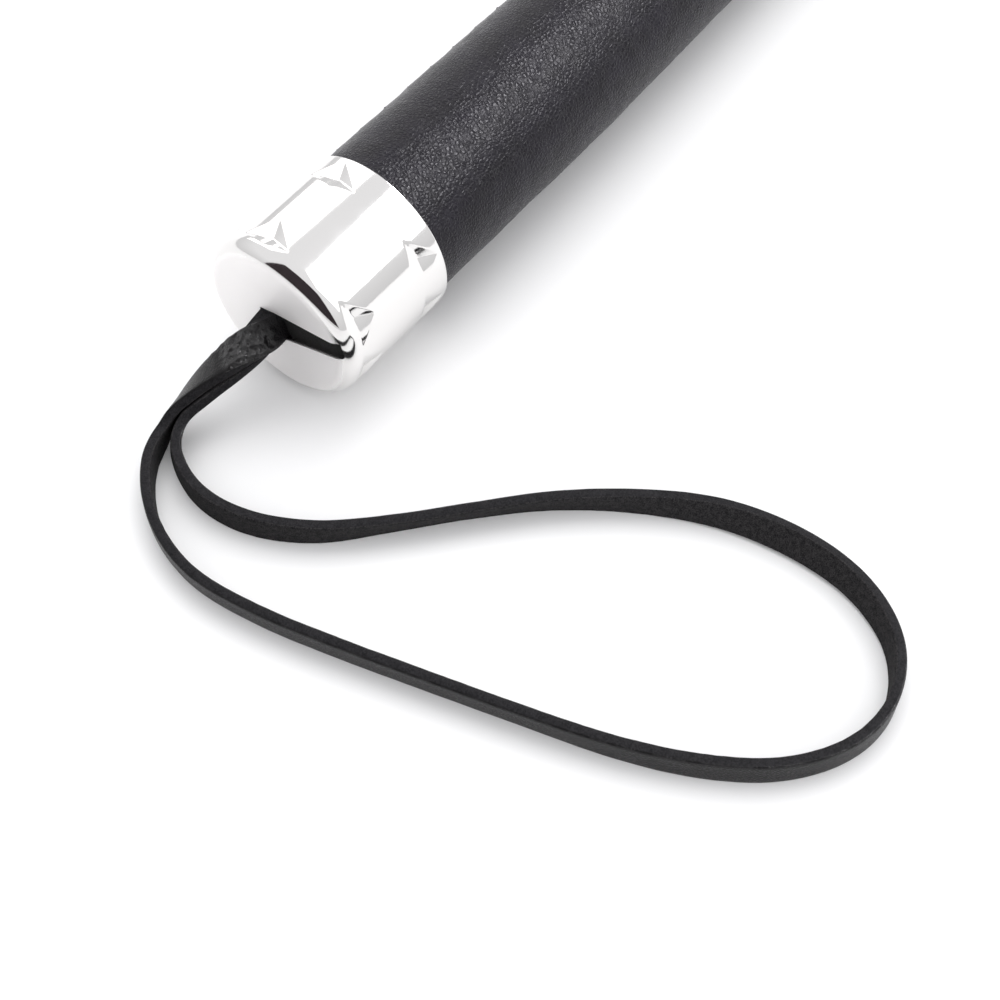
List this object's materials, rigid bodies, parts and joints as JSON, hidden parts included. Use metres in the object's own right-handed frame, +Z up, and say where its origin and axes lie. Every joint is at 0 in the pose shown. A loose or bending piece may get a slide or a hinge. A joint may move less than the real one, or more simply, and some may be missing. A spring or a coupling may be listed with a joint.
{
  "type": "riding crop",
  "caption": "Riding crop with a capped leather grip, a flat wrist strap looped from a slot in the cap, a braided tapered shaft and a stitched leather keeper.",
  "frame": {"origin": "on the surface the crop lies on, below the middle of its length without the wrist strap", "axes": "+X along the crop from the cap to the keeper, +Y to its left, +Z up; the shaft falls about one degree towards the keeper"},
  "size_m": [0.6317, 0.1045, 0.0253],
  "materials": {
    "polished_metal": "thin pressed metal, polished bright, soft handling marks",
    "steel": "plain wire",
    "grip_leather": "pebble grain, semi-gloss blue-black",
    "strap_leather": "smooth grain side, fibrous matt flesh side and cut edges",
    "keeper_leather": "pebble grain with pressed edges",
    "pad_leather": "plain black",
    "thread": "waxed twisted thread",
    "braid": "braided shiny nylon yarn",
    "foam": "soft cellular sleeve",
    "wood": "turned, unfinished",
    "fibreglass": "drawn rod",
    "rubber": "moulded, matt",
    "filler_board": "pressed leather board"
  },
  "bodies": {
    "root": {"end_cap": "polished_metal", "butt_pad": "pad_leather", "strap_tails": "strap_leather", "strap_pin": "steel", "grip_core": "wood", "grip_padding": "foam", "grip_cover": "grip_leather", "grip_seam_stitches": "thread", "front_ferrule": "polished_metal", "front_binding": "thread", "shaft_rod": "fibreglass", "shaft_braid": "braid", "tip_cap": "rubber", "keeper_sleeve": "keeper_leather", "keeper_whipping": "thread"},
    "wrist_loop": {"wrist_strap": "strap_leather"},
    "keeper": {"keeper_flap": "keeper_leather", "keeper_filler": "filler_board", "keeper_stitching": "thread"}
  },
  "joints": [
    {"name": "wrist_loop_swing", "type": "hinge", "parent": "root", "child": "wrist_loop", "pos_m": [-0.30184, 0.0005, 0.0121], "axis": [0, 0, 1], "range_deg": [-25, 30]},
    {"name": "keeper_flex", "type": "hinge", "parent": "root", "child": "keeper", "pos_m": [0.23809, 0, 0.00419], "axis": [0, 1, 0], "range_deg": [-65, 65], "stiffness_Nm_per_rad": 0.15}
  ]
}
